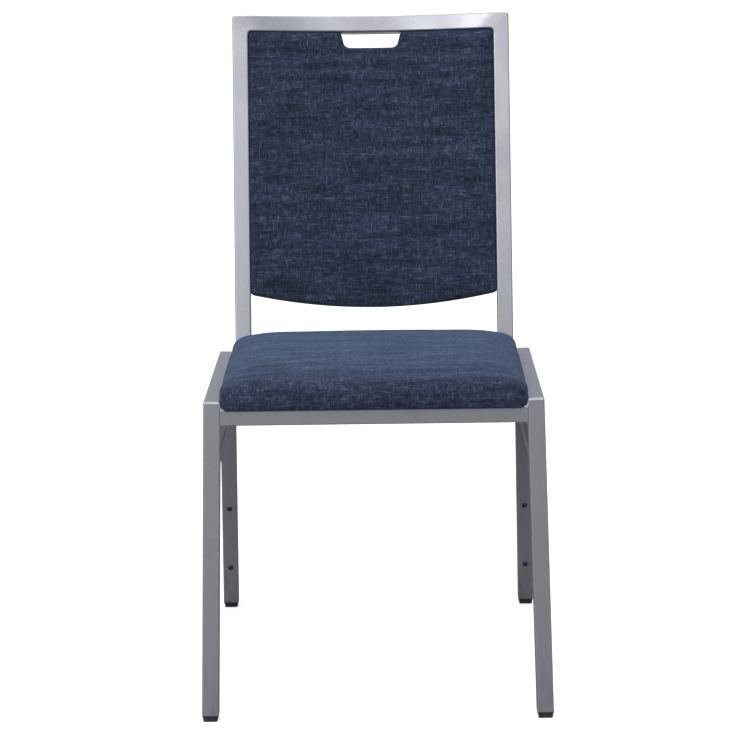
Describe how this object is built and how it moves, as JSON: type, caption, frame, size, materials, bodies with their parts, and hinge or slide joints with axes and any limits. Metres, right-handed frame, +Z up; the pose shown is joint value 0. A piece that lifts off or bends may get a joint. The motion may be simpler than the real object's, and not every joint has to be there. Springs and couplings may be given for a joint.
{
  "type": "stacking chair",
  "caption": "Armless stacking chair with a welded square-tube frame, an upholstered seat and a bowed upholstered back with a hand hold under the top rail.",
  "frame": {"origin": "on the floor, at the middle of the footprint", "axes": "+Z up, +Y to the back of the chair, +X to the sitter's left"},
  "size_m": [0.4646, 0.5394, 0.8873],
  "materials": {
    "powder_coat": "fine metallic silver powder coat, satin",
    "fabric": "slubbed navy upholstery weave",
    "foam": "open-cell upholstery foam",
    "plywood": "unfinished plywood",
    "dust_cloth": "black non-woven cloth",
    "foot_plastic": "moulded, slightly scuffed",
    "bumper_plastic": "moulded",
    "zinc_steel": "zinc plated"
  },
  "bodies": {
    "root": {"front_leg_left": "powder_coat", "front_leg_right": "powder_coat", "side_rail_left": "powder_coat", "side_rail_right": "powder_coat", "rear_leg_left": "powder_coat", "rear_leg_right": "powder_coat", "side_stretcher_left": "powder_coat", "side_stretcher_right": "powder_coat", "front_rail": "powder_coat", "rear_rail": "powder_coat", "back_upright_left": "powder_coat", "back_upright_right": "powder_coat", "top_rail": "powder_coat", "grip_strip": "powder_coat", "back_strap_lower": "powder_coat", "back_strap_upper": "powder_coat", "foot_cap_front_left": "foot_plastic", "foot_cap_front_right": "foot_plastic", "foot_cap_rear_left": "foot_plastic", "foot_cap_rear_right": "foot_plastic", "stack_bumper_upper_left": "bumper_plastic", "stack_bumper_upper_right": "bumper_plastic", "stack_bumper_lower_left": "bumper_plastic", "stack_bumper_lower_right": "bumper_plastic", "seat_board": "plywood", "seat_foam": "foam", "seat_cover": "fabric", "seat_dust_cover": "dust_cloth", "seat_screw_front_left": "zinc_steel", "seat_screw_front_right": "zinc_steel", "seat_screw_rear_left": "zinc_steel", "seat_screw_rear_right": "zinc_steel", "back_board": "plywood", "back_foam": "foam", "back_cover_front": "fabric", "back_rear_board": "plywood", "back_cover_rear": "fabric", "back_screw_lower_left": "zinc_steel", "back_screw_lower_right": "zinc_steel", "back_screw_upper_left": "zinc_steel", "back_screw_upper_right": "zinc_steel"}
  },
  "joints": []
}
